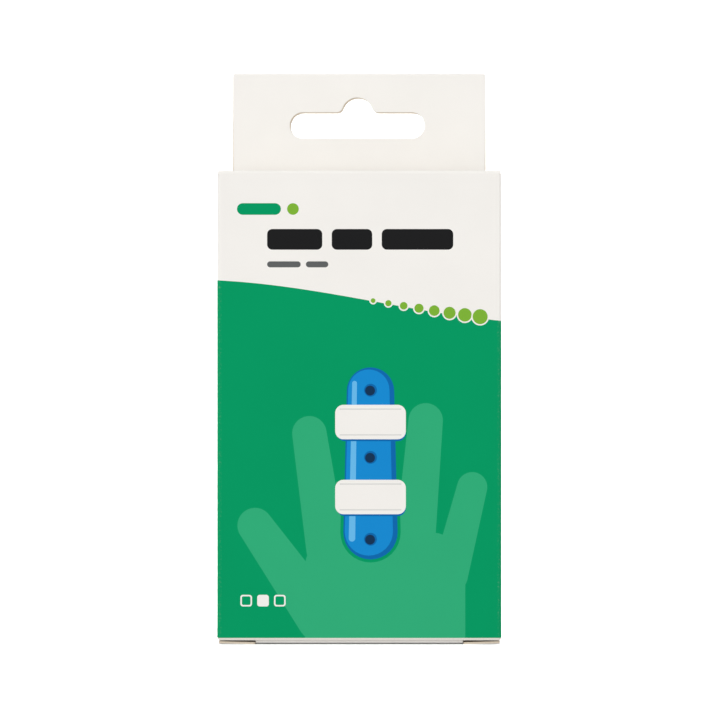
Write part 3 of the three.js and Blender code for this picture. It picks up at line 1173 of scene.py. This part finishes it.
class CARTON_OT_studio(bpy.types.Operator):
    """Set up the floor, the light and the camera"""

    bl_idname = "carton.studio"
    bl_label = "Studio"

    def execute(self, context):
        scene = context.scene
        studio = scene.carton_studio
        paper = self.backdrop(studio.floor_tone)
        self.contact_shade()
        for name, place, side, power in LAMPS:
            area_light(name, place, CARTON_MIDDLE, side, power)
        for place, target, power in PAPER_LAMPS:
            light = area_light("paper light", place, target, PAPER_LAMP_SIDE, power)
            light.light_linking.receiver_collection = paper
        scene.world = self.surroundings(studio.sky, studio.ground)
        scene.view_settings.view_transform = "Standard"

        camera = bpy.data.cameras.new("camera")
        camera.sensor_width = SENSOR
        camera.lens = SENSOR * studio.camera_distance / studio.view_width
        camera.clip_start = 0.05
        camera.clip_end = 20.0
        view = bpy.data.objects.new("camera", camera)
        front = -HALF_DEPTH * MM
        view.location = (CAMERA_ASIDE, front - studio.camera_distance, studio.camera_height)
        view.rotation_euler = (math.radians(90), 0.0, 0.0)
        scene.collection.objects.link(view)
        scene.camera = view
        return {"FINISHED"}

    def backdrop(self, tone):
        """Paper that lies on the floor and sweeps up behind the carton."""
        profile = [(-PAPER_HALF, -PAPER_DROP)]
        profile += arc(SWEEP_START, SWEEP_RADIUS - PAPER_DROP, SWEEP_RADIUS, -90, 0, 24)
        profile += [(SWEEP_START + SWEEP_RADIUS, PAPER_TOP)]
        points = [(x, y, z) for y, z in profile for x in (-PAPER_HALF, PAPER_HALF)]
        faces = [(2 * i, 2 * i + 1, 2 * i + 3, 2 * i + 2) for i in range(len(profile) - 1)]
        mesh = bpy.data.meshes.new("studio_paper")
        mesh.from_pydata(points, [], faces)
        mesh.polygons.foreach_set("use_smooth", [True] * len(mesh.polygons))
        mesh.materials.append(backdrop_finish(tone))
        floor = bpy.data.objects.new("studio_paper", mesh)
        floor.visible_diffuse = False
        floor.visible_glossy = False
        bpy.context.scene.collection.objects.link(floor)
        paper = bpy.data.collections.new("studio paper")
        paper.objects.link(floor)
        return paper

    def contact_shade(self):
        """A dark card under the paper, which only darkens what lies close above the floor."""
        across = HALF_WIDTH * MM - CARD_INSET
        along = HALF_DEPTH * MM - CARD_INSET
        points = [(x, y, -CARD_DROP) for x, y in (
            (-across, -along), (across, -along), (across, along), (-across, along))]
        mesh = bpy.data.meshes.new("contact_shade")
        mesh.from_pydata(points, [], [(0, 1, 2, 3)])
        look = Finish("shade card")
        look.feed(look.shader.inputs["Base Color"], (CARD_TONE, CARD_TONE, CARD_TONE, 1.0))
        look.feed(look.shader.inputs["Specular IOR Level"], 0.0)
        mesh.materials.append(look.material)
        card = bpy.data.objects.new("contact_shade", mesh)
        bpy.context.scene.collection.objects.link(card)

    def surroundings(self, sky, ground):
        """Even light from all round, of one strength above the horizon and another below."""
        world = bpy.data.worlds.new("studio")
        world.use_nodes = True
        nodes = world.node_tree.nodes
        links = world.node_tree.links
        height = nodes.new("ShaderNodeSeparateXYZ")
        links.new(nodes.new("ShaderNodeTexCoord").outputs["Generated"], height.inputs[0])
        strength = nodes.new("ShaderNodeMapRange")
        links.new(height.outputs["Z"], strength.inputs["Value"])
        strength.inputs["From Min"].default_value = -HORIZON
        strength.inputs["From Max"].default_value = HORIZON
        strength.inputs["To Min"].default_value = ground
        strength.inputs["To Max"].default_value = sky
        background = nodes["Background"]
        background.inputs["Color"].default_value = (1.0, 1.0, 1.0, 1.0)
        links.new(strength.outputs[0], background.inputs["Strength"])
        return world


class CARTON_PT_sidebar(bpy.types.Panel):
    """Lists the carton's pieces and settings in the sidebar"""

    bl_label = "Carton"
    bl_space_type = "VIEW_3D"
    bl_region_type = "UI"
    bl_category = "Carton"

    def draw(self, context):
        layout = self.layout
        for operator in OPERATORS:
            layout.operator(operator.bl_idname)
        scene = context.scene
        for group in (scene.carton_board, scene.carton_print, scene.carton_studio):
            column = layout.column()
            for name in group.__annotations__:
                column.prop(group, name)


OPERATORS = (
    CARTON_OT_sleeve,
    CARTON_OT_hang_tab,
    CARTON_OT_top_lid,
    CARTON_OT_bottom_lid,
    CARTON_OT_dust_flaps,
    CARTON_OT_studio,
)
CLASSES = (CartonBoard, CartonPrint, CartonStudio) + OPERATORS + (CARTON_PT_sidebar,)


def register():
    for each in CLASSES:
        bpy.utils.register_class(each)
    bpy.types.Scene.carton_board = bpy.props.PointerProperty(type=CartonBoard)
    bpy.types.Scene.carton_print = bpy.props.PointerProperty(type=CartonPrint)
    bpy.types.Scene.carton_studio = bpy.props.PointerProperty(type=CartonStudio)


def unregister():
    del bpy.types.Scene.carton_studio
    del bpy.types.Scene.carton_print
    del bpy.types.Scene.carton_board
    for each in reversed(CLASSES):
        bpy.utils.unregister_class(each)


def main():
    """Build every piece and the studio."""
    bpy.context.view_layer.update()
    register()
    bpy.ops.carton.sleeve()
    bpy.ops.carton.hang_tab()
    bpy.ops.carton.top_lid()
    bpy.ops.carton.bottom_lid()
    bpy.ops.carton.dust_flaps()
    bpy.ops.carton.studio()


if __name__ == "__main__":
    main()
